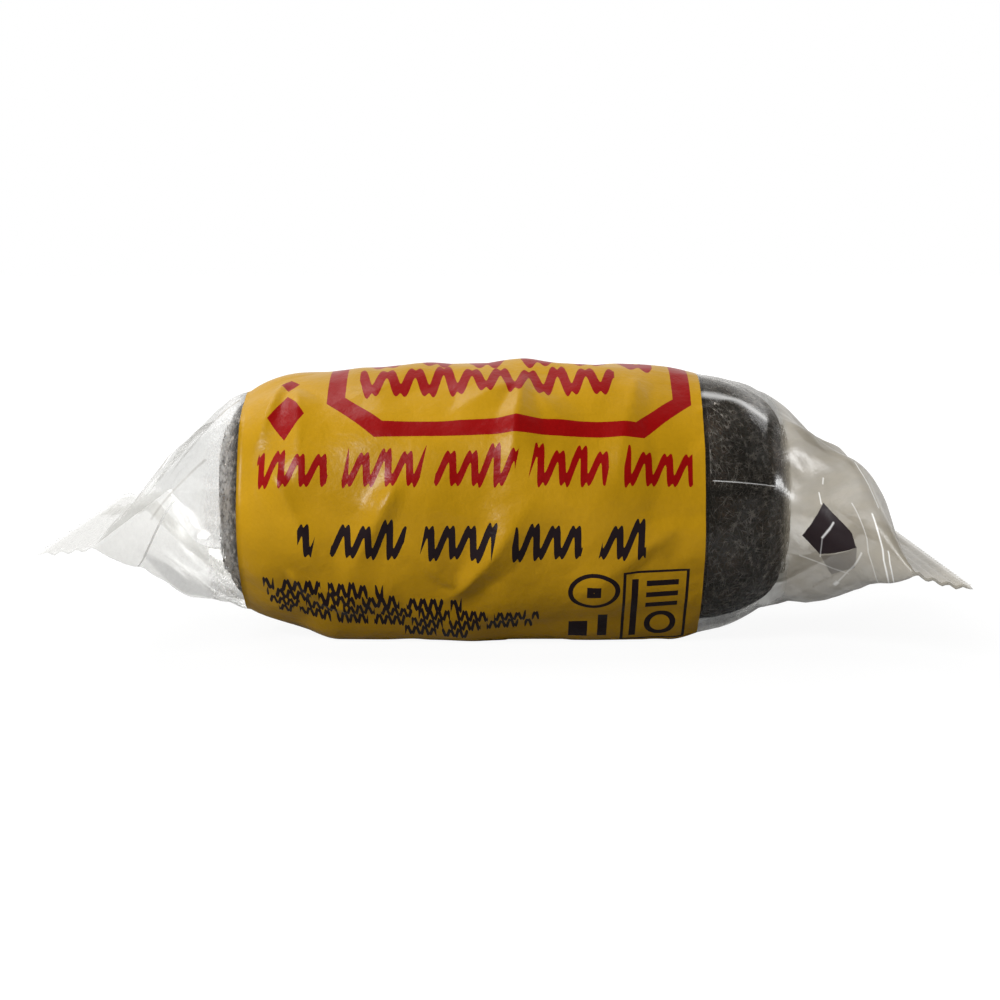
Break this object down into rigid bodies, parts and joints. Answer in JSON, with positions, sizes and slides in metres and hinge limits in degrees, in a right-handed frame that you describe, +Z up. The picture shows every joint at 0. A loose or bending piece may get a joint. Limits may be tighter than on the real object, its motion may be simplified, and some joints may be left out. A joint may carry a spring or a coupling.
{
  "type": "steel wool roll",
  "caption": "Small roll of wound steel wool in a clear film wrapper with a yellow printed band and flat crimped ends.",
  "frame": {"origin": "on the resting surface, under the middle of the pack", "axes": "+X along the roll, +Z up, -Y towards the side with the main print"},
  "size_m": [0.12, 0.062, 0.0386],
  "materials": {
    "steel_wool": "fine dark steel fibres, dull, with bright strands",
    "printed_film": "clear glossy film with an opaque yellow printed band round the middle"
  },
  "bodies": {
    "root": {"wool_roll": "steel_wool", "film_wrapper": "printed_film"}
  },
  "joints": []
}
